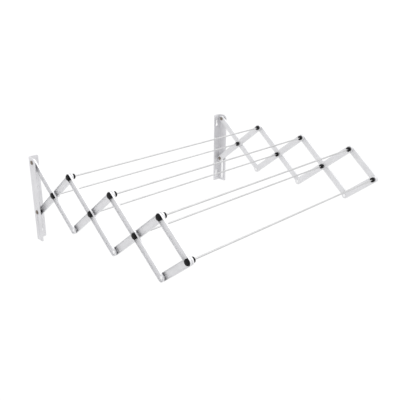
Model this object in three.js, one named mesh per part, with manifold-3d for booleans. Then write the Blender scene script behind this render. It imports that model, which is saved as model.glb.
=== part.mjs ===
// A wall-mounted folding airer: two L-shaped brackets carry a pair of scissor linkages, and seven
// cross rods join the two linkages and serve as their hinge pins.
// Millimetres. X runs along the rods, Y points into the wall (the wall face is y = 0, so the rack
// reaches towards -Y), and Z is up, with z = 0 at the top pivots.
import * as THREE from "three";
import { mergeVertices } from "three/addons/utils/BufferGeometryUtils.js";
import Module from "manifold-3d";

// ---- Driving dimensions ----

const GAP = 0.3; // between pieces that bear on each other
const DEGREE = Math.PI / 180;

// Linkage
const ARM_HALF = 105; // from an arm's middle pivot to its end pivot
const SPREAD_OPEN = 50.2 * DEGREE; // half the angle between crossing arms, rack pulled out
const SPREAD_SHUT = 15 * DEGREE; // the same, rack pushed back to the wall
const LONG_ARMS = 3; // full-length arms in each direction on each side, before the half-length pair

// Arms: shallow channels with rounded ends, open towards the outside of the rack
const ARM_WIDTH = 18.4;
const ARM_DEPTH = 5;
const ARM_WALL = 1.2;
const ARM_END_STEPS = 5; // each end's half circle has twice as many facets

// Brackets
const BRACKET_OUTER_X = 347.5; // outer face of the side flange, from the rack's middle plane
const BRACKET_WALL = 2;
const BRACKET_TOP = 13;
const BRACKET_BOTTOM = -214;
const SIDE_FLANGE_DEPTH = 31;
const BACK_FLANGE_WIDTH = 27;
const BEND_RADIUS = 3.5; // outside of the bend between the flanges
const SIDE_TOP_RADIUS = 12;
const SIDE_BOTTOM_RADIUS = 5;
const BACK_CORNER_RADIUS = 4;
const PIVOT_Y = -16; // the top pivot stands this far off the wall
const BRACKET_CLEARANCE = 1.8; // between the side flange and the nearest arm
const KEYHOLE_X = 332;
const KEYHOLE_HEADS = [-21, -194]; // heights of the round parts
const KEYHOLE_HEAD_RADIUS = 4.4;
const KEYHOLE_NECK_RADIUS = 2.4;
const KEYHOLE_RISE = 14; // from the round part's centre to the top of the neck's centre line
const SLOT_RADIUS = 3.4;
const NOTCH_RUN = 4.5; // the notch at the slot's head, from the slot's middle line towards the wall
const NOTCH_DROP = 1.5;
const HOLE_STEPS = 3; // each half circle of a hole has twice as many facets
const CORNER_STEPS = 3; // each rounded corner of a bracket has twice as many facets

// Rods, caps, pins and rivets
const ROD_RADIUS = 2;
const CAP_RADIUS = 7.5;
const CAP_HEIGHT = 7.2; // stands a little proud of the channel it sits in
const CAP_BORE_DEPTH = 3.5;
const STOP_CAP_RADIUS = 6.4;
const STOP_CAP_HEIGHT = 6.5;
const RIVET_RADIUS = 2.4;
const RIVET_HEAD_RADIUS = 4.3;
const RIVET_HEAD_HEIGHT = 2;
const PIN_RADIUS = 2.7;
const PIN_HEAD_RADIUS = 5.4;
const PIN_HEAD_HEIGHT = 2.2;
const SHOULDER_RADIUS = 4.6; // spacer round a bracket pin, between the flange and the arm
const ROUND_STEPS = 14;

// Layers across one side, as distances from the rack's middle plane
const BRACKET_INNER_X = BRACKET_OUTER_X - BRACKET_WALL;
const FALLING_OUTER_X = BRACKET_INNER_X - BRACKET_CLEARANCE;
const FALLING_INNER_X = FALLING_OUTER_X - ARM_DEPTH;
const RISING_OUTER_X = FALLING_INNER_X - GAP;
const RISING_INNER_X = RISING_OUTER_X - ARM_DEPTH;
const FALLING_WEB_X = FALLING_INNER_X + ARM_WALL; // face of the web inside the channel
const RISING_WEB_X = RISING_INNER_X + ARM_WALL;

// ---- Materials ----

const aluminium = new THREE.MeshStandardMaterial({ color: 0xc9c9cd, roughness: 0.38, metalness: 0.9 });
const bracketMetal = new THREE.MeshStandardMaterial({ color: 0xbfbfc4, roughness: 0.45, metalness: 0.9 });
const rodMetal = new THREE.MeshStandardMaterial({ color: 0xdadadd, roughness: 0.3, metalness: 0.8 });
const blackPlastic = new THREE.MeshStandardMaterial({ color: 0x121214, roughness: 0.35, metalness: 0 });
const darkSteel = new THREE.MeshStandardMaterial({ color: 0x5d534c, roughness: 0.45, metalness: 0.8 });

// ---- Solids ----

const wasm = await Module();
wasm.setup();

function solidOf(geometry) {
  const bare = new THREE.BufferGeometry();
  bare.setAttribute("position", geometry.getAttribute("position"));
  bare.setIndex(geometry.index);
  const merged = mergeVertices(bare, 1e-4);
  const vertProperties = merged.getAttribute("position").array;
  const triVerts = Uint32Array.from(merged.index.array);
  return new wasm.Manifold(new wasm.Mesh({ numProp: 3, vertProperties, triVerts }));
}

function geometryOf(solid) {
  const { vertProperties, triVerts } = solid.getMesh();
  const geometry = new THREE.BufferGeometry();
  geometry.setAttribute("position", new THREE.BufferAttribute(vertProperties, 3));
  geometry.setIndex(new THREE.BufferAttribute(triVerts, 1));
  geometry.computeVertexNormals();
  return geometry;
}

// A shape drawn with (across, up) = (y, z), extruded along +X from `from` to `to`.
function extrudeAlongX(shape, from, to, curveSegments) {
  const geometry = new THREE.ExtrudeGeometry(shape, { depth: to - from, bevelEnabled: false, curveSegments });
  return geometry.rotateX(Math.PI / 2).rotateZ(Math.PI / 2).translate(from, 0, 0);
}

// A shape drawn with (across, up) = (x, z), extruded along Y from `from` to `to`.
function extrudeAlongY(shape, from, to, curveSegments) {
  const geometry = new THREE.ExtrudeGeometry(shape, { depth: to - from, bevelEnabled: false, curveSegments });
  return geometry.rotateX(Math.PI / 2).translate(0, to, 0);
}

// A slot outline: the area within `radius` of the segment from (x0, y0) to (x1, y1).
function slotShape(x0, y0, x1, y1, radius) {
  const heading = Math.atan2(y1 - y0, x1 - x0);
  const shape = new THREE.Shape();
  shape.absarc(x1, y1, radius, heading - Math.PI / 2, heading + Math.PI / 2, false);
  shape.absarc(x0, y0, radius, heading + Math.PI / 2, heading + (3 * Math.PI) / 2, false);
  shape.closePath();
  return shape;
}

// A rectangle whose four corners have their own radii, in the order
// low-low, high-low, high-high, low-high.
function roundedRectangle(x0, y0, x1, y1, [r0, r1, r2, r3]) {
  const shape = new THREE.Shape();
  shape.absarc(x0 + r0, y0 + r0, r0, Math.PI, 1.5 * Math.PI, false);
  shape.absarc(x1 - r1, y0 + r1, r1, 1.5 * Math.PI, 2 * Math.PI, false);
  shape.absarc(x1 - r2, y1 - r2, r2, 0, 0.5 * Math.PI, false);
  shape.absarc(x0 + r3, y1 - r3, r3, 0.5 * Math.PI, Math.PI, false);
  shape.closePath();
  return shape;
}

// A turned piece on the X axis. The profile is a closed loop of [x, radius] corners, along the
// outside towards +X.
function turned(corners) {
  const profile = [...corners, corners[0]].map(([x, radius]) => new THREE.Vector2(radius, x));
  return new THREE.LatheGeometry(profile, ROUND_STEPS).rotateZ(-Math.PI / 2);
}

// ---- Where the pivots are ----

// A pivot of the linkage as [y, z]: `out` counts half arms away from the wall, and `down` is 0 on
// the upper line, 1 on the middle line and 2 on the lower line.
function pivot(out, down, spread = SPREAD_OPEN) {
  const reach = out * ARM_HALF * Math.sin(spread);
  const fall = down * ARM_HALF * Math.cos(spread);
  return [PIVOT_Y - reach, -fall];
}

// ---- Pieces, drawn for the +X side ----

// Two flanges with a rounded bend, keyholes in the back flange, and in the side flange the pivot
// hole and the slot that the first rising arm's pin runs down. A notch at the slot's head holds the
// pin while the rack is pulled out.
function bracketGeometry() {
  const outer = BRACKET_OUTER_X;
  const inner = outer - BACK_FLANGE_WIDTH;
  const bend = BEND_RADIUS;
  const insideBend = BEND_RADIUS - BRACKET_WALL;
  const section = new THREE.Shape();
  section.moveTo(inner, 0);
  section.lineTo(inner, -BRACKET_WALL);
  section.absarc(outer - bend, -bend, insideBend, Math.PI / 2, 0, true);
  section.lineTo(outer - BRACKET_WALL, -SIDE_FLANGE_DEPTH);
  section.lineTo(outer, -SIDE_FLANGE_DEPTH);
  section.absarc(outer - bend, -bend, bend, 0, Math.PI / 2, false);
  section.closePath();
  const height = BRACKET_TOP - BRACKET_BOTTOM;
  const rail = new THREE.ExtrudeGeometry(section, { depth: height, bevelEnabled: false, curveSegments: 2 });
  rail.translate(0, 0, BRACKET_BOTTOM);

  const past = 5; // cutters reach this far beyond the metal
  const sideOutline = roundedRectangle(
    -SIDE_FLANGE_DEPTH, BRACKET_BOTTOM, past * 2, BRACKET_TOP,
    [SIDE_BOTTOM_RADIUS, 1, 1, SIDE_TOP_RADIUS],
  );
  const backOutline = roundedRectangle(
    inner, BRACKET_BOTTOM, outer + past * 2, BRACKET_TOP,
    [BACK_CORNER_RADIUS, 1, 1, BACK_CORNER_RADIUS],
  );
  let solid = solidOf(rail)
    .intersect(solidOf(extrudeAlongX(sideOutline, inner - past, outer + past, CORNER_STEPS)))
    .intersect(solidOf(extrudeAlongY(backOutline, -SIDE_FLANGE_DEPTH - past, past, CORNER_STEPS)));

  const cutAcross = (shape) => {
    solid = solid.subtract(solidOf(extrudeAlongX(shape, outer - past, outer + past, HOLE_STEPS)));
  };
  cutAcross(slotShape(PIVOT_Y, 0, PIVOT_Y + 0.01, 0, PIN_RADIUS + GAP));
  const [slotY, slotHead] = pivot(0, 2, SPREAD_OPEN);
  const slotFoot = pivot(0, 2, SPREAD_SHUT)[1];
  cutAcross(slotShape(slotY, slotHead, slotY, slotFoot, SLOT_RADIUS));
  cutAcross(slotShape(slotY, slotHead, slotY + NOTCH_RUN, slotHead - NOTCH_DROP, SLOT_RADIUS));

  for (const head of KEYHOLE_HEADS) {
    const neck = slotShape(KEYHOLE_X, head, KEYHOLE_X, head + KEYHOLE_RISE, KEYHOLE_NECK_RADIUS);
    const round = slotShape(KEYHOLE_X, head, KEYHOLE_X, head + 0.01, KEYHOLE_HEAD_RADIUS);
    for (const shape of [neck, round]) {
      solid = solid.subtract(solidOf(extrudeAlongY(shape, -past, past, HOLE_STEPS)));
    }
  }
  return geometryOf(solid);
}

// A channel from its first pivot at the origin along +Y, web at x = 0, open towards +X.
// Each hole is [distance along the arm, radius].
function armGeometry(length, holes) {
  const outline = slotShape(0, 0, length, 0, ARM_WIDTH / 2);
  const pocket = slotShape(0, 0, length, 0, ARM_WIDTH / 2 - ARM_WALL);
  let solid = solidOf(extrudeAlongX(outline, 0, ARM_DEPTH, ARM_END_STEPS));
  solid = solid.subtract(solidOf(extrudeAlongX(pocket, ARM_WALL, ARM_DEPTH + 1, ARM_END_STEPS)));
  for (const [along, radius] of holes) {
    const hole = slotShape(along, 0, along + 0.01, 0, radius);
    solid = solid.subtract(solidOf(extrudeAlongX(hole, -1, ARM_WALL + 1, HOLE_STEPS)));
  }
  return geometryOf(solid);
}

// A push cap on a rod's end: a low dome with a blind bore for the rod.
function rodCapGeometry() {
  const bore = ROD_RADIUS + GAP;
  return turned([
    [CAP_BORE_DEPTH, 0],
    [CAP_BORE_DEPTH, bore],
    [0, bore],
    [0, CAP_RADIUS],
    [CAP_HEIGHT * 0.7, CAP_RADIUS],
    [CAP_HEIGHT * 0.92, CAP_RADIUS * 0.84],
    [CAP_HEIGHT, CAP_RADIUS * 0.5],
    [CAP_HEIGHT, 0],
  ]);
}

// A stop cap that the rod passes through, its flat face at x = 0 and its rounded face towards -X.
function stopCapGeometry() {
  const bore = ROD_RADIUS + GAP;
  return turned([
    [-STOP_CAP_HEIGHT, bore],
    [-STOP_CAP_HEIGHT, STOP_CAP_RADIUS * 0.72],
    [-STOP_CAP_HEIGHT * 0.8, STOP_CAP_RADIUS],
    [0, STOP_CAP_RADIUS],
    [0, bore],
  ]);
}

// A headed pin from x = `from` to x = `to`, measured between its heads' bearing faces.
// A shoulder, if given, is a thicker stretch [start, end] of the shank.
function pinGeometry(from, to, radius, headRadius, headHeight, shoulder) {
  const chamfer = headHeight * 0.5;
  const shank = shoulder
    ? [[shoulder[0], radius], [shoulder[0], SHOULDER_RADIUS], [shoulder[1], SHOULDER_RADIUS], [shoulder[1], radius]]
    : [];
  return turned([
    [from - headHeight, 0],
    [from - headHeight, headRadius * 0.7],
    [from - headHeight + chamfer, headRadius],
    [from, headRadius],
    [from, radius],
    ...shank,
    [to, radius],
    [to, headRadius],
    [to + headHeight - chamfer, headRadius],
    [to + headHeight, headRadius * 0.7],
    [to + headHeight, 0],
  ]);
}

// A plain sleeve from x = `from` to x = `to`.
function sleeveGeometry(from, to, bore, radius) {
  return turned([[from, bore], [from, radius], [to, radius], [to, bore]]);
}

// ---- Assembly ----

const rack = new THREE.Group();

function place(group, name, geometry, material, x, [y, z], turn = 0) {
  const mesh = new THREE.Mesh(geometry, material);
  mesh.name = name;
  mesh.position.set(x, y, z);
  mesh.rotation.x = turn;
  group.add(mesh);
}

// The turn about X that lays an arm, drawn along +Y, from one pivot towards another.
const headingOf = ([y0, z0], [y1, z1]) => Math.atan2(z1 - z0, y1 - y0);

const rodHole = ROD_RADIUS + GAP;
const rivetHole = RIVET_RADIUS + GAP;
const pinHole = PIN_RADIUS + GAP;
const fullLength = 2 * ARM_HALF;
const bracket = bracketGeometry();
const rodCap = rodCapGeometry();
const stopCap = stopCapGeometry();
const longArm = armGeometry(fullLength, [[0, rodHole], [ARM_HALF, rodHole], [fullLength, rivetHole]]);
const firstArm = armGeometry(fullLength, [[0, pinHole], [ARM_HALF, rodHole], [fullLength, rivetHole]]);
const firstRiser = armGeometry(fullLength, [[0, pinHole], [ARM_HALF, rodHole], [fullLength, rodHole]]);
const longRiser = armGeometry(fullLength, [[0, rivetHole], [ARM_HALF, rodHole], [fullLength, rodHole]]);
const halfArm = armGeometry(ARM_HALF, [[0, rodHole], [ARM_HALF, rodHole]]);
const halfRiser = armGeometry(ARM_HALF, [[0, rivetHole], [ARM_HALF, rodHole]]);
const lowerRivet = pinGeometry(
  RISING_INNER_X - GAP, FALLING_WEB_X + GAP, RIVET_RADIUS, RIVET_HEAD_RADIUS, RIVET_HEAD_HEIGHT,
);
const topPivot = pinGeometry(
  FALLING_INNER_X - GAP, BRACKET_OUTER_X + GAP, PIN_RADIUS, PIN_HEAD_RADIUS, PIN_HEAD_HEIGHT,
  [FALLING_WEB_X + GAP, BRACKET_INNER_X - GAP],
);
const slotPin = pinGeometry(
  RISING_INNER_X - GAP, BRACKET_OUTER_X + GAP, PIN_RADIUS, PIN_HEAD_RADIUS, PIN_HEAD_HEIGHT,
);
const slotSpacer = sleeveGeometry(RISING_WEB_X + GAP, BRACKET_INNER_X - GAP, pinHole, SHOULDER_RADIUS);

// Rods in order from the wall: odd ones on the middle line, even ones on the upper line, and the
// last one at the outer end.
const rodPivots = [];
for (let out = 1; out <= 2 * LONG_ARMS; out += 1) {
  rodPivots.push(pivot(out, out % 2));
}
rodPivots.push(pivot(2 * LONG_ARMS + 1, 1));

const rodReach = FALLING_WEB_X + GAP + CAP_BORE_DEPTH - GAP;
const rod = turned([[-rodReach, 0], [-rodReach, ROD_RADIUS], [rodReach, ROD_RADIUS], [rodReach, 0]]);
rodPivots.forEach((at, index) => place(rack, `rod_${index + 1}`, rod, rodMetal, 0, at));

for (const [side, sign] of [["left", -1], ["right", 1]]) {
  const half = new THREE.Group();
  half.scale.x = sign;
  rack.add(half);

  place(half, `bracket_${side}`, bracket, bracketMetal, 0, [0, 0]);
  place(half, `top_pivot_${side}`, topPivot, darkSteel, 0, pivot(0, 0));
  place(half, `slot_pin_${side}`, slotPin, darkSteel, 0, pivot(0, 2));
  place(half, `slot_spacer_${side}`, slotSpacer, blackPlastic, 0, pivot(0, 2));

  for (let bay = 0; bay <= LONG_ARMS; bay += 1) {
    const isShort = bay === LONG_ARMS;
    const start = 2 * bay;
    const end = start + (isShort ? 1 : 2);
    const top = pivot(start, 0);
    const bottom = pivot(start, 2);
    const falling = isShort ? halfArm : bay === 0 ? firstArm : longArm;
    const rising = isShort ? halfRiser : bay === 0 ? firstRiser : longRiser;
    const fallTurn = headingOf(top, pivot(end, isShort ? 1 : 2));
    const riseTurn = headingOf(bottom, pivot(end, isShort ? 1 : 0));
    place(half, `falling_arm_${bay + 1}_${side}`, falling, aluminium, FALLING_INNER_X, top, fallTurn);
    place(half, `rising_arm_${bay + 1}_${side}`, rising, aluminium, RISING_INNER_X, bottom, riseTurn);
    if (bay > 0) place(half, `lower_rivet_${bay}_${side}`, lowerRivet, aluminium, 0, bottom);
  }

  rodPivots.forEach((at, index) => {
    const number = index + 1;
    place(half, `rod_cap_${number}_${side}`, rodCap, blackPlastic, FALLING_WEB_X + GAP, at);
    const isInner = number % 2 === 1 && number < rodPivots.length;
    if (isInner) return; // the middle line's stop caps are small trim, left to the finished surfaces
    place(half, `stop_cap_${number}_${side}`, stopCap, blackPlastic, RISING_INNER_X - GAP, at);
  });
}

export default rack;
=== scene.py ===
"""Wall-mounted folding airer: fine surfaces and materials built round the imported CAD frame."""
import math

import bmesh
import bpy
from mathutils import Matrix, Vector
from mathutils.geometry import tessellate_polygon


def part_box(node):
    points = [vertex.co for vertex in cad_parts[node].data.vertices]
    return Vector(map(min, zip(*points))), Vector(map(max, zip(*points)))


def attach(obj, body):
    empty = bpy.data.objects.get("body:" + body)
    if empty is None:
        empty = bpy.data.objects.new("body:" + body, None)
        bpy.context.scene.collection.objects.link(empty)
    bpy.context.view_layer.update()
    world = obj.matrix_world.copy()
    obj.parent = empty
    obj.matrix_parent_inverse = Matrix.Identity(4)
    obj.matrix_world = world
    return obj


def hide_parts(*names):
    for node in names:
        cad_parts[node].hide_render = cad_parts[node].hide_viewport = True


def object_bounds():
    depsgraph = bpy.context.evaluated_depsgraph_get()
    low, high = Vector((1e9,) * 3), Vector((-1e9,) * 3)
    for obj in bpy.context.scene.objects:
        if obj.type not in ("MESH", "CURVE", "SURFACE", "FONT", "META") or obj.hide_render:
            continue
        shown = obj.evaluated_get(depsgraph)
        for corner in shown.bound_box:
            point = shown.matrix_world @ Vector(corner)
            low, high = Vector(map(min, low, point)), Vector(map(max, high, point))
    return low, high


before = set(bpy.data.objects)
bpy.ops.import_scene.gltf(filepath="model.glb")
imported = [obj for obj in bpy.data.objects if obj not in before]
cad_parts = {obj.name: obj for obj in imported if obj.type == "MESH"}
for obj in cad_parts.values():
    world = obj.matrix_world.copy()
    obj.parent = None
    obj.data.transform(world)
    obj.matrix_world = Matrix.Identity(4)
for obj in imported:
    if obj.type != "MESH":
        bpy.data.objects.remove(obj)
cad_box = [list(corner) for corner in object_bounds()]

MM = 0.001
SIDES = {"left": -1, "right": 1}

# ---- Camera ----

CAMERA_PLACE = Vector((-0.9914, -1.2772, 0.4334))
CAMERA_AZIMUTH = math.radians(-44.35)  # turned to the left of straight at the wall
CAMERA_ELEVATION = math.radians(21.48)  # looking down
CAMERA_ROLL = math.radians(0.19)
CAMERA_LENS = 51.0


def make_camera():
    data = bpy.data.cameras.new("camera")
    data.sensor_width = 36.0
    data.lens = CAMERA_LENS
    data.clip_end = 200.0
    camera = bpy.data.objects.new("camera", data)
    level = math.cos(CAMERA_ELEVATION)
    back = Vector((
        math.sin(CAMERA_AZIMUTH) * level,
        -math.cos(CAMERA_AZIMUTH) * level,
        math.sin(CAMERA_ELEVATION),
    ))
    turn = (-back).to_track_quat("-Z", "Y").to_matrix().to_4x4()
    camera.matrix_world = Matrix.Translation(CAMERA_PLACE) @ turn @ Matrix.Rotation(CAMERA_ROLL, 4, "Z")
    bpy.context.scene.collection.objects.link(camera)
    bpy.context.scene.camera = camera


make_camera()

# ---- Materials ----


def new_material(name):
    material = bpy.data.materials.new(name)
    material.use_nodes = True
    tree = material.node_tree
    return material, tree, tree.nodes["Principled BSDF"]


def link(tree, source, socket, target, name):
    tree.links.new(source.outputs[socket], target.inputs[name])


def mapped(tree, source, scale):
    """Texture coordinates of one kind, stretched by a scale along each axis."""
    place = tree.nodes.new("ShaderNodeTexCoord")
    mapping = tree.nodes.new("ShaderNodeMapping")
    mapping.inputs["Scale"].default_value = scale
    link(tree, place, source, mapping, "Vector")
    return mapping


def noise(tree, coordinates, scale, detail=4.0, roughness=0.6):
    node = tree.nodes.new("ShaderNodeTexNoise")
    node.inputs["Scale"].default_value = scale
    node.inputs["Detail"].default_value = detail
    node.inputs["Roughness"].default_value = roughness
    link(tree, coordinates, "Vector", node, "Vector")
    return node


def ramp(tree, source, socket, low, high, stops=(0.3, 0.7)):
    """Turns a factor into a run between two colours (or two grey values)."""
    node = tree.nodes.new("ShaderNodeValToRGB")
    for element, value, stop in zip(node.color_ramp.elements, (low, high), stops):
        element.position = stop
        element.color = (*value, 1.0) if isinstance(value, tuple) else (value, value, value, 1.0)
    link(tree, source, socket, node, "Fac")
    return node


def bump(tree, height, socket, strength, distance, before=None):
    node = tree.nodes.new("ShaderNodeBump")
    node.inputs["Strength"].default_value = strength
    node.inputs["Distance"].default_value = distance
    link(tree, height, socket, node, "Height")
    if before:
        link(tree, before, "Normal", node, "Normal")
    return node


def metal(name, dark, light, rough, stretch, line_depth, metallic):
    """Worked metal: fine lines along the UV map's u axis, cloudy tone and scattered small marks."""
    material, tree, shader = new_material(name)
    shader.inputs["Metallic"].default_value = metallic
    along = mapped(tree, "UV", stretch)
    lines = noise(tree, along, 1.0, detail=6.0, roughness=0.7)
    cloud = noise(tree, mapped(tree, "Object", (1.0, 1.0, 1.0)), 38.0, detail=5.0)
    tone = tree.nodes.new("ShaderNodeMix")
    tone.data_type = "FLOAT"
    tone.inputs["Factor"].default_value = 0.45
    link(tree, lines, "Fac", tone, "A")
    link(tree, cloud, "Fac", tone, "B")
    colour = ramp(tree, tone, "Result", dark, light, stops=(0.36, 0.64))
    link(tree, colour, "Color", shader, "Base Color")
    polish = ramp(tree, tone, "Result", rough[0], rough[1], stops=(0.3, 0.7))
    link(tree, polish, "Color", shader, "Roughness")
    grain = bump(tree, lines, "Fac", 0.35, line_depth)
    pits = noise(tree, mapped(tree, "Object", (1.0, 1.0, 1.0)), 900.0, detail=2.0)
    speck = bump(tree, pits, "Fac", 0.08, 0.0001, before=grain)
    link(tree, speck, "Normal", shader, "Normal")
    return material


def moulded(name, dark, light, rough, gloss):
    """Moulded plastic: near-even colour, a faint orange-peel skin and dulled patches from handling."""
    material, tree, shader = new_material(name)
    shader.inputs["Specular IOR Level"].default_value = gloss
    skin = noise(tree, mapped(tree, "Object", (1.0, 1.0, 1.0)), 420.0, detail=3.0)
    patch = noise(tree, mapped(tree, "Object", (1.0, 1.0, 1.0)), 150.0, detail=5.0)
    colour = ramp(tree, patch, "Fac", dark, light)
    link(tree, colour, "Color", shader, "Base Color")
    polish = ramp(tree, patch, "Fac", rough[0], rough[1])
    link(tree, polish, "Color", shader, "Roughness")
    peel = bump(tree, skin, "Fac", 0.12, 0.0002)
    link(tree, peel, "Normal", shader, "Normal")
    return material


ALONG_ONLY = (12.0, 2600.0, 1.0)  # drawing lines: long in u, fine in v
ROD_LINES = (9.0, 900.0, 1.0)
HEAD_LINES = (300.0, 40.0, 1.0)
PIN_LINES = (300.0, 60.0, 1.0)

arm_metal = metal(
    "arm_aluminium", (0.63, 0.63, 0.645), (0.73, 0.73, 0.745), (0.32, 0.46),
    ALONG_ONLY, line_depth=0.00003, metallic=0.4,
)
bracket_metal = metal(
    "bracket_aluminium", (0.6, 0.597, 0.615), (0.7, 0.697, 0.715), (0.38, 0.5),
    ALONG_ONLY, line_depth=0.00003, metallic=0.4,
)
rod_metal = metal(
    "rod_aluminium", (0.46, 0.46, 0.465), (0.57, 0.57, 0.575), (0.26, 0.38),
    ROD_LINES, line_depth=0.00002, metallic=0.8,
)
rivet_metal = metal(
    "rivet_aluminium", (0.8, 0.8, 0.81), (0.9, 0.9, 0.9), (0.2, 0.32),
    HEAD_LINES, line_depth=0.00003, metallic=0.8,
)
pin_metal = metal(
    "pin_steel", (0.15, 0.125, 0.105), (0.27, 0.235, 0.205), (0.3, 0.45),
    PIN_LINES, line_depth=0.00005, metallic=1.0,
)
cap_plastic = moulded("cap_plastic", (0.004, 0.004, 0.0045), (0.009, 0.009, 0.01), (0.16, 0.28), 0.1)
spacer_plastic = moulded(
    "spacer_plastic", (0.02, 0.02, 0.022), (0.04, 0.04, 0.042), (0.4, 0.55), 0.3,
)

# ---- Mesh building ----

SHARP_ANGLE = math.radians(32)


def arc(centre, radius, start, end, steps):
    """Points of an arc in a plane, by angle in degrees, both ends included."""
    points = []
    for i in range(steps + 1):
        angle = math.radians(start + (end - start) * i / steps)
        points.append((centre[0] + radius * math.cos(angle), centre[1] + radius * math.sin(angle)))
    return points


def rings_of(bm, rows):
    return [[bm.verts.new(point) for point in row] for row in rows]


def skin_rings(bm, rings):
    """Quads between each ring of vertices and the next; every ring is closed."""
    for first, second in zip(rings, rings[1:]):
        count = len(first)
        for i in range(count):
            j = (i + 1) % count
            bm.faces.new((first[i], first[j], second[j], second[i]))


def fill_flat(bm, loops, flat):
    """Closes a flat area bounded by an outer loop of vertices and any holes in it."""
    polygons = [[Vector((*flat(v.co), 0.0)) for v in loop] for loop in loops]
    vertices = [v for loop in loops for v in loop]
    for triangle in tessellate_polygon(polygons):
        bm.faces.new([vertices[i] for i in triangle])


def finish_mesh(bm, name, material, along, across, mirror, origin=Vector()):
    """Outward faces, shading edges and a UV map in metres; mirrored for the left side."""
    if mirror < 0:
        bmesh.ops.scale(bm, vec=(-1, 1, 1), verts=bm.verts)
        flip = Vector((-1, 1, 1))
        along, across, origin = along * flip, across * flip, origin * flip
    bmesh.ops.recalc_face_normals(bm, faces=bm.faces)
    for face in bm.faces:
        face.smooth = True
    for edge in bm.edges:
        edge.smooth = edge.calc_face_angle(0.0) < SHARP_ANGLE
    uv = bm.loops.layers.uv.new("flow")
    third = along.cross(across)
    for face in bm.faces:
        for loop in face.loops:
            place = loop.vert.co - origin
            loop[uv].uv = (place.dot(along), place.dot(across) + place.dot(third))
    mesh = bpy.data.meshes.new(name)
    bm.to_mesh(mesh)
    bm.free()
    mesh.materials.append(material)
    piece = bpy.data.objects.new(name, mesh)
    bpy.context.scene.collection.objects.link(piece)
    return piece


def settle(piece, body, slot, *nodes):
    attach(piece, body)
    if nodes:
        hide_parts(*nodes)


X_AXIS, Y_AXIS, Z_AXIS = Vector((1, 0, 0)), Vector((0, 1, 0)), Vector((0, 0, 1))
TURN_STEPS = 48


def turned(profile, centre, name, material, mirror, steps=TURN_STEPS):
    """A turned piece about an X line through `centre` (y, z). The profile is (x, radius) points along
    the outside towards +X; a radius of 0 closes an end, and otherwise the profile is a closed loop."""
    bm = bmesh.new()
    closed = profile[0][1] > 0
    rows = []
    for x, radius in profile:
        if radius == 0:
            continue
        row = []
        for i in range(steps):
            angle = 2 * math.pi * i / steps
            row.append((x, centre[0] + radius * math.cos(angle), centre[1] + radius * math.sin(angle)))
        rows.append(row)
    rings = rings_of(bm, rows)
    skin_rings(bm, rings + rings[:1] if closed else rings)
    if not closed:
        for x, ring in ((profile[0][0], rings[0]), (profile[-1][0], rings[-1])):
            pole = bm.verts.new((x, centre[0], centre[1]))
            for i in range(steps):
                bm.faces.new((ring[i], ring[(i + 1) % steps], pole))
    origin = Vector((0, centre[0], centre[1]))
    return finish_mesh(bm, name, material, X_AXIS, Y_AXIS, mirror, origin)


# ---- Where things are, from the frame ----


def centre_of(node):
    low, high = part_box(node)
    return ((low.y + high.y) / 2, (low.z + high.z) / 2)


def across_of(node):
    """A right-hand node's nearest and farthest distance from the middle plane."""
    low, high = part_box(node)
    return low.x, high.x


TOP_PIVOT = centre_of("top_pivot_right")
SLOT_PIN = centre_of("slot_pin_right")
ROD_CENTRES = {number: centre_of(f"rod_{number}") for number in range(1, 8)}
LOWER = {number: centre_of(f"lower_rivet_{number}_right") for number in range(1, 4)}

# ---- Arms ----

ARM_WIDTH = 18.3 * MM
ARM_WALL = 1.2 * MM
ARM_BEND = 1.3 * MM  # outside radius where the web turns into the rim
ARM_FILLET = 0.6 * MM
RIM_ROUND = 0.4 * MM
END_STEPS = 28
HOLE_EDGE = 0.25 * MM
HOLE_STEPS = 32


def stadium(length, radius):
    """The outline round two pivots, with both end arcs."""
    far = arc((length, 0.0), radius, -90, 90, END_STEPS)
    near = arc((0.0, 0.0), radius, 90, 270, END_STEPS)
    return far + near


def circle(centre, radius, steps=HOLE_STEPS):
    return arc(centre, radius, 0, 360 * (steps - 1) / steps, steps - 1)


def channel_sections(width, depth):
    """(radius round a pivot, depth) from the web's back, over the rim, to the web's inner face."""
    half = width / 2
    sections = [(half - ARM_BEND, 0.0)]
    sections += [(half + x, y) for x, y in arc((-ARM_BEND, ARM_BEND), ARM_BEND, -75, 0, 5)]
    sections += [(half + x, depth + y) for x, y in arc((-RIM_ROUND, -RIM_ROUND), RIM_ROUND, 0, 90, 3)]
    inside = half - ARM_WALL
    sections += [(inside + x, depth + y) for x, y in arc((RIM_ROUND, -RIM_ROUND), RIM_ROUND, 90, 180, 3)]
    sections += [
        (inside + x, ARM_WALL + y) for x, y in arc((-ARM_FILLET, ARM_FILLET), ARM_FILLET, 0, -90, 4)
    ]
    return sections


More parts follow.
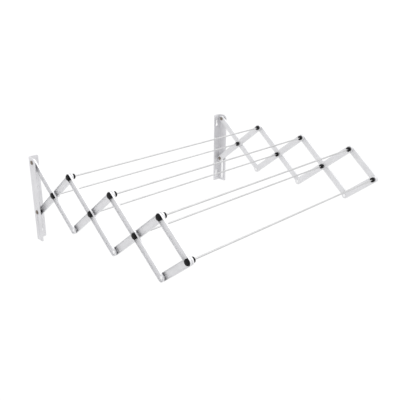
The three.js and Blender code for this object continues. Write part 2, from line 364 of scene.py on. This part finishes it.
def channel_arm(name, start, end, body, holes):
    """A rounded channel from one pivot to another, on both sides of the rack."""
    low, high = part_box(name + "_right")
    run = Vector((end[0] - start[0], end[1] - start[1]))
    length = run.length
    heading = run / length
    depth = high.x - low.x

    def place(along, across, out):
        y = start[0] + heading.x * along - heading.y * across
        z = start[1] + heading.y * along + heading.x * across
        return Vector((low.x + out, y, z))

    def flat(point):
        offset = Vector((point.y - start[0], point.z - start[1]))
        return offset.dot(heading), heading.x * offset.y - heading.y * offset.x

    for side, mirror in SIDES.items():
        bm = bmesh.new()
        rows = [
            [place(u, v, out) for u, v in stadium(length, radius)]
            for radius, out in channel_sections(ARM_WIDTH, depth)
        ]
        rings = rings_of(bm, rows)
        skin_rings(bm, rings)
        holes_back, holes_front = [], []
        for along, radius in holes:
            levels = [
                (radius + HOLE_EDGE, 0.0), (radius, HOLE_EDGE),
                (radius, ARM_WALL - HOLE_EDGE), (radius + HOLE_EDGE, ARM_WALL),
            ]
            hole = rings_of(bm, [
                [place(u, v, out) for u, v in circle((along, 0.0), hole_radius)]
                for hole_radius, out in levels
            ])
            skin_rings(bm, hole)
            holes_back.append(hole[0])
            holes_front.append(hole[-1])
        fill_flat(bm, [rings[0], *holes_back], flat)
        fill_flat(bm, [rings[-1], *holes_front], flat)
        along_axis = Vector((0, heading.x, heading.y))
        across_axis = Vector((0, -heading.y, heading.x))
        origin = Vector((low.x, start[0], start[1]))
        piece = finish_mesh(
            bm, f"{name}_{side}_fine", arm_metal, along_axis, across_axis, mirror, origin,
        )
        settle(piece, body, "arm", f"{name}_{side}")


ROD_HOLE = 2.3 * MM
RIVET_HOLE = 2.7 * MM
PIN_HOLE = 3.0 * MM


def make_arms():
    upper = {0: TOP_PIVOT, 1: ROD_CENTRES[2], 2: ROD_CENTRES[4], 3: ROD_CENTRES[6]}
    lower = {0: SLOT_PIN, **LOWER}
    outer = ROD_CENTRES[7]
    for bay in range(4):
        falling_end = lower[bay + 1] if bay < 3 else outer
        rising_end = upper[bay + 1] if bay < 3 else outer
        span = (Vector(falling_end) - Vector(upper[bay])).length
        middle = [(span / 2, ROD_HOLE)] if bay < 3 else []
        start_hole = PIN_HOLE if bay == 0 else ROD_HOLE
        end_hole = RIVET_HOLE if bay < 3 else ROD_HOLE
        falling_holes = [(0.0, start_hole), *middle, (span, end_hole)]
        foot_hole = PIN_HOLE if bay == 0 else RIVET_HOLE
        rising_holes = [(0.0, foot_hole), *middle, (span, ROD_HOLE)]
        number = bay + 1
        channel_arm(f"falling_arm_{number}", upper[bay], falling_end, f"falling_{number}", falling_holes)
        channel_arm(f"rising_arm_{number}", lower[bay], rising_end, f"rising_{number}", rising_holes)


make_arms()

# ---- Brackets ----

SHEET = 2.0 * MM
BEND = 3.5 * MM
BEND_STEPS = 8
EDGE_ROUND = 0.3 * MM
SAMPLE = 0.7 * MM  # spacing of the points round the slots
KEYHOLE_ACROSS = 15.5 * MM  # keyhole line from the outer face
KEYHOLE_HEADS = (-21 * MM, -194 * MM)
KEYHOLE_RISE = 14 * MM
KEYHOLE_HEAD_RADIUS = 4.4 * MM
KEYHOLE_NECK_RADIUS = 2.4 * MM
BACK_CORNER = 4 * MM
TOP_ROUND = 12 * MM
FOOT_ROUND = 5 * MM
SLOT_RADIUS = 3.4 * MM
SLOT_FOOT = -202.85 * MM
NOTCH = Vector((4.5 * MM, -1.5 * MM))


def capsule(start, end, radius):
    """Points round the area within a radius of a segment, evenly spaced."""
    run = Vector(end) - Vector(start)
    heading = math.degrees(math.atan2(run.y, run.x))
    steps = max(8, round(math.pi * radius / SAMPLE))
    points = arc(end, radius, heading - 90, heading + 90, steps)
    points += arc(start, radius, heading + 90, heading + 270, steps)
    joined = []
    for i, point in enumerate(points):
        following = points[(i + 1) % len(points)]
        gap = (Vector(following) - Vector(point)).length
        pieces = max(1, round(gap / SAMPLE))
        joined += [tuple(Vector(point).lerp(Vector(following), k / pieces)) for k in range(pieces)]
    return joined


def inside_capsule(point, start, end, radius):
    a, b, p = Vector(start), Vector(end), Vector(point)
    run = b - a
    t = 0.0 if run.length == 0 else max(0.0, min(1.0, (p - a).dot(run) / run.length_squared))
    return (p - (a + run * t)).length < radius - 1e-7


def union_outline(centre, capsules):
    """Outline of several capsules that all hold `centre`, in order round it."""
    points = []
    for mine in capsules:
        others = [c for c in capsules if c is not mine]
        points += [p for p in capsule(*mine) if not any(inside_capsule(p, *c) for c in others)]
    points.sort(key=lambda p: math.atan2(p[1] - centre[1], p[0] - centre[0]))
    return points


def inset(loop, distance):
    """Moves a loop of points to its left by a distance, corner by corner."""
    moved = []
    count = len(loop)
    for i, point in enumerate(loop):
        before = Vector(point) - Vector(loop[i - 1])
        after = Vector(loop[(i + 1) % count]) - Vector(point)
        left = (Vector((-before.y, before.x)).normalized() + Vector((-after.y, after.x)).normalized())
        moved.append(tuple(Vector(point) + left.normalized() * distance))
    return moved


def make_bracket(side, mirror):
    node = f"bracket_{side}"
    low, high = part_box("bracket_right")
    outer, inner = high.x, low.x
    bottom, top = low.z, high.z
    depth = high.y - low.y
    seam_back = (outer - inner) - BEND  # flat distances from the back flange's free edge
    seam_side = seam_back + BEND * math.pi / 2
    free_edge = seam_side + depth - BEND

    def fold(s, z, h):
        """A point of the flat sheet, `h` in from the outside, on the folded bracket."""
        if s <= seam_back:
            return Vector((inner + s, high.y - h, z))
        if s < seam_side:
            angle = (s - seam_back) / (seam_side - seam_back) * math.pi / 2
            reach = BEND - h
            x = outer - BEND + reach * math.sin(angle)
            y = high.y - BEND + reach * math.cos(angle)
            return Vector((x, y, z))
        return Vector((outer - h, high.y - BEND - (s - seam_side), z))

    def side_s(y):
        return seam_side + (high.y - BEND - y)

    def bend_row(z, flip):
        row = [(seam_back + (seam_side - seam_back) * i / BEND_STEPS, z) for i in range(BEND_STEPS + 1)]
        return row[::-1] if flip else row

    bottom_bend = bend_row(bottom, False)
    side_run = arc((free_edge - FOOT_ROUND, bottom + FOOT_ROUND), FOOT_ROUND, -90, 0, 10)
    side_run += arc((free_edge - TOP_ROUND, top - TOP_ROUND), TOP_ROUND, 0, 90, 16)
    top_bend = bend_row(top, True)
    back_run = arc((BACK_CORNER, top - BACK_CORNER), BACK_CORNER, 90, 180, 10)
    back_run += arc((BACK_CORNER, bottom + BACK_CORNER), BACK_CORNER, 180, 270, 10)
    outline = bottom_bend + side_run + top_bend + back_run
    marks = [0, len(bottom_bend) - 1]
    marks += [len(bottom_bend) + len(side_run), len(bottom_bend) + len(side_run) + len(top_bend) - 1]

    slot_s = side_s(SLOT_PIN[0])
    slot_head = (slot_s, SLOT_PIN[1])
    notch_end = (slot_s - NOTCH.x, SLOT_PIN[1] + NOTCH.y)
    slot = union_outline(slot_head, [
        (slot_head, (slot_s, SLOT_FOOT), SLOT_RADIUS),
        (slot_head, notch_end, SLOT_RADIUS),
    ])
    pivot_hole = circle((side_s(TOP_PIVOT[0]), TOP_PIVOT[1]), PIN_HOLE)
    keyhole_s = (outer - inner) - KEYHOLE_ACROSS
    keyholes = []
    for head in KEYHOLE_HEADS:
        centre = (keyhole_s, head)
        keyholes.append(union_outline(centre, [
            (centre, (keyhole_s, head + 0.01 * MM), KEYHOLE_HEAD_RADIUS),
            (centre, (keyhole_s, head + KEYHOLE_RISE), KEYHOLE_NECK_RADIUS),
        ]))

    bm = bmesh.new()

    def edge_rings(loop, towards_metal):
        shoulder = EDGE_ROUND * 0.3
        levels = [(EDGE_ROUND, 0.0), (shoulder, shoulder), (0.0, EDGE_ROUND)]
        levels += [(0.0, SHEET - EDGE_ROUND), (shoulder, SHEET - shoulder), (EDGE_ROUND, SHEET)]
        rows = []
        for distance, h in levels:
            moved = inset(loop, distance * towards_metal) if distance else loop
            rows.append([fold(s, z, h) for s, z in moved])
        rings = rings_of(bm, rows)
        skin_rings(bm, rings)
        return rings[0], rings[-1]

    rims = edge_rings(outline, 1)
    side_holes = [edge_rings(loop, -1) for loop in (slot, pivot_hole)]
    back_holes = [edge_rings(loop, -1) for loop in keyholes]
    count = len(outline)
    for level in (0, 1):
        rim = rims[level]
        side_loop = [rim[i] for i in range(marks[1], marks[2] + 1)]
        back_loop = [rim[i % count] for i in range(marks[3], count + 1)]
        fill_flat(bm, [side_loop, *[hole[level] for hole in side_holes]], lambda p: (p.y, p.z))
        fill_flat(bm, [back_loop, *[hole[level] for hole in back_holes]], lambda p: (p.x, p.z))
        for i in range(BEND_STEPS):
            low_pair = (rim[i], rim[i + 1])
            high_pair = (rim[marks[3] - i - 1], rim[marks[3] - i])
            bm.faces.new((*low_pair, *high_pair))
    piece = finish_mesh(bm, f"{node}_fine", bracket_metal, Z_AXIS, Y_AXIS, mirror)
    settle(piece, "root", "bracket", node)


# ---- Turned pieces ----

ROD_RADIUS = 2.0 * MM
ROD_CHAMFER = 0.3 * MM
ROD_RINGS = [-0.3 + 0.1 * i for i in range(7)]  # rings along a rod, between its ends
CAP_RADIUS = 7.5 * MM
CAP_FACE = 4.3 * MM  # radius where a cap's edge turns into its face
STOP_CAP_RADIUS = 6.4 * MM
RIVET = (2.4 * MM, 4.3 * MM, 2.0 * MM)  # shank radius, head radius, head height
PIN = (2.7 * MM, 5.4 * MM, 2.2 * MM)
SLEEVE_RADIUS = 4.6 * MM
SLEEVE_BORE = 3.0 * MM
SLEEVE_EDGE = 0.3 * MM
SHOULDER_GAP = 0.3 * MM  # play between the top pivot's shoulder and the parts beside it


def crown(x0, x1, radius, flat, steps=12):
    """A rounded edge from the full radius at x0 up to a barely domed face at x1."""
    points = []
    for i in range(steps):
        angle = math.pi / 2 * i / (steps - 1)
        points.append((
            x0 + (x1 - x0) * 0.88 * math.sin(angle),
            flat + (radius - flat) * math.cos(angle),
        ))
    for i in range(1, 5):
        share = i / 4
        points.append((x0 + (x1 - x0) * (0.88 + 0.12 * math.sin(math.pi / 2 * share)), flat * (1 - share)))
    return points


def cap_profile(base, top, radius):
    """Push cap with a skirt, a shallow groove, a low crown and a blind bore for the rod."""
    bore = 2.2 * MM
    depth = 3.5 * MM
    lip = 0.35 * MM
    skirt = base + 3.9 * MM  # where the groove runs round
    groove = 0.25 * MM
    profile = [(base + depth, 0.0), (base + depth, bore), (base + lip, bore), (base, bore + lip)]
    profile += [(base, radius - lip), (base + lip * 0.3, radius - lip * 0.3), (base + lip, radius)]
    profile += [(skirt - groove, radius), (skirt, radius - groove), (skirt + groove, radius)]
    profile += crown(skirt + 2 * groove, top, radius, CAP_FACE)
    return profile


def stop_cap_profile(base, tip, radius):
    """Stop cap with the rod through it: flat face at `base`, rounded face at `tip`."""
    bore = 2.05 * MM
    face = 4.0 * MM
    lip = 0.35 * MM
    edge = 1.3 * MM  # how far the rounding reaches along the rod
    profile = [(tip + 0.4 * MM, bore), (tip, bore + 0.4 * MM)]
    for i in range(9):
        angle = math.pi / 2 * i / 8
        profile.append((tip + edge * (1 - math.cos(angle)), face + (radius - face) * math.sin(angle)))
    profile += [(base - lip, radius), (base - lip * 0.3, radius - lip * 0.3)]
    profile += [(base, radius - lip), (base, bore)]
    return profile


def pin_profile(low, high, shank, head, head_height, shoulder=None):
    """A pin with a domed head on each end. `low` and `high` are its full ends."""
    rim = 0.5 * MM
    dome = dome_down(head_height - rim, head)
    profile = [(low + x, radius) for x, radius in dome]
    profile += [(low + head_height - rim, head), (low + head_height - 0.1 * MM, head)]
    profile += [(low + head_height, head - 0.1 * MM), (low + head_height, shank)]
    if shoulder:
        start, end, wide = shoulder
        profile += [(start, shank), (start, wide), (end, wide), (end, shank)]
    profile += [(high - head_height, shank), (high - head_height, head - 0.1 * MM)]
    profile += [(high - head_height + 0.1 * MM, head), (high - head_height + rim, head)]
    profile += [(high - x, radius) for x, radius in reversed(dome)]
    return profile


def dome_down(height, radius, steps=8):
    """(distance from the pole, radius) from the pole out to the rim."""
    points = [(0.0, 0.0)]
    for i in range(1, steps):
        angle = math.pi / 2 * i / steps
        points.append((height * (1 - math.cos(angle)), radius * math.sin(angle)))
    return points


BODY_OF_ROD = {
    1: "falling_1", 2: "rising_1", 3: "falling_2", 4: "rising_2",
    5: "falling_3", 6: "rising_3", 7: "falling_4",
}


def make_rods_and_caps():
    stop_low, stop_high = across_of("stop_cap_2_right")
    for number, centre in ROD_CENTRES.items():
        body = BODY_OF_ROD[number]
        reach = across_of(f"rod_{number}")[1]
        marks = [-reach + ROD_CHAMFER, *ROD_RINGS, reach - ROD_CHAMFER]
        profile = [(-reach, 0.0), (-reach, ROD_RADIUS - ROD_CHAMFER)]
        profile += [(x, ROD_RADIUS) for x in marks]
        profile += [(reach, ROD_RADIUS - ROD_CHAMFER), (reach, 0.0)]
        rod = turned(profile, centre, f"rod_{number}_fine", rod_metal, 1, steps=32)
        settle(rod, body, "rod", f"rod_{number}")
        for side, mirror in SIDES.items():
            low, high = across_of(f"rod_cap_{number}_right")
            node = f"rod_cap_{number}_{side}"
            cap = turned(cap_profile(low, high, CAP_RADIUS), centre, node + "_fine", cap_plastic, mirror)
            settle(cap, body, "cap", node)
            stop_profile = stop_cap_profile(stop_high, stop_low, STOP_CAP_RADIUS)
            stop_node = f"stop_cap_{number}_{side}"
            stop = turned(stop_profile, centre, stop_node + "_fine", cap_plastic, mirror)
            only_here = number in (1, 3, 5)  # the frame has no node for these
            settle(stop, body, "cap", *([] if only_here else [stop_node]))


def make_pins(side, mirror):
    web_face = across_of("falling_arm_1_right")[0] + ARM_WALL
    for number, centre in LOWER.items():
        low, high = across_of(f"lower_rivet_{number}_right")
        node = f"lower_rivet_{number}_{side}"
        profile = pin_profile(low, high, *RIVET)
        rivet = turned(profile, centre, node + "_fine", rivet_metal, mirror)
        settle(rivet, f"falling_{number}", "rivet", node)

    inner_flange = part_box("bracket_right")[1].x - SHEET
    low, high = across_of("top_pivot_right")
    shoulder = (web_face + SHOULDER_GAP, inner_flange - SHOULDER_GAP, SLEEVE_RADIUS)
    profile = pin_profile(low, high, *PIN, shoulder)
    top = turned(profile, TOP_PIVOT, f"top_pivot_{side}_fine", pin_metal, mirror)
    settle(top, "root", "pin", f"top_pivot_{side}")

    low, high = across_of("slot_pin_right")
    profile = pin_profile(low, high, *PIN)
    pin = turned(profile, SLOT_PIN, f"slot_pin_{side}_fine", pin_metal, mirror)
    settle(pin, "rising_1", "pin", f"slot_pin_{side}")

    low, high = across_of("slot_spacer_right")
    rounded = SLEEVE_RADIUS - SLEEVE_EDGE
    sleeve = [(low, SLEEVE_BORE), (low, rounded), (low + SLEEVE_EDGE, SLEEVE_RADIUS)]
    sleeve += [(high - SLEEVE_EDGE, SLEEVE_RADIUS), (high, rounded), (high, SLEEVE_BORE)]
    spacer = turned(sleeve, SLOT_PIN, f"slot_spacer_{side}_fine", spacer_plastic, mirror)
    settle(spacer, "rising_1", "cap", f"slot_spacer_{side}")


make_rods_and_caps()
for side_name, side_sign in SIDES.items():
    make_bracket(side_name, side_sign)
    make_pins(side_name, side_sign)

# ---- Floor and light ----

FLOOR_DROP = 1.0  # the floor lies this far below the brackets
FLOOR_HALF = 90.0
ROOM_LIGHT = 1.15
KEY_LIGHT = 1.1
KEY_SPREAD = 60.0  # degrees
KEY_AIM = Vector((-0.3, 0.25, -1.0))  # from overhead, a little to the right and in front


def make_floor():
    material, tree, shader = new_material("pale_floor")
    shader.inputs["Roughness"].default_value = 0.9
    shader.inputs["Specular IOR Level"].default_value = 0.1
    shader.inputs["Base Color"].default_value = (0.7, 0.7, 0.7, 1.0)
    mesh = bpy.data.meshes.new("floor")
    z = cad_box[0][2] - FLOOR_DROP
    corners = [
        (-FLOOR_HALF, -FLOOR_HALF, z), (FLOOR_HALF, -FLOOR_HALF, z),
        (FLOOR_HALF, FLOOR_HALF, z), (-FLOOR_HALF, FLOOR_HALF, z),
    ]
    mesh.from_pydata(corners, [], [(0, 1, 2, 3)])
    mesh.materials.append(material)
    floor = bpy.data.objects.new("floor", mesh)
    bpy.context.scene.collection.objects.link(floor)


def make_light():
    world = bpy.data.worlds.new("studio")
    world.use_nodes = True
    background = world.node_tree.nodes["Background"]
    background.inputs["Color"].default_value = (1.0, 1.0, 1.0, 1.0)
    background.inputs["Strength"].default_value = ROOM_LIGHT
    scene = bpy.context.scene
    scene.world = world
    scene.view_settings.view_transform = "Standard"
    data = bpy.data.lights.new("softbox", "SUN")
    data.energy = KEY_LIGHT
    data.angle = math.radians(KEY_SPREAD)
    sun = bpy.data.objects.new("softbox", data)
    sun.rotation_mode = "QUATERNION"
    sun.rotation_quaternion = KEY_AIM.to_track_quat("-Z", "Y")
    scene.collection.objects.link(sun)


make_floor()
make_light()
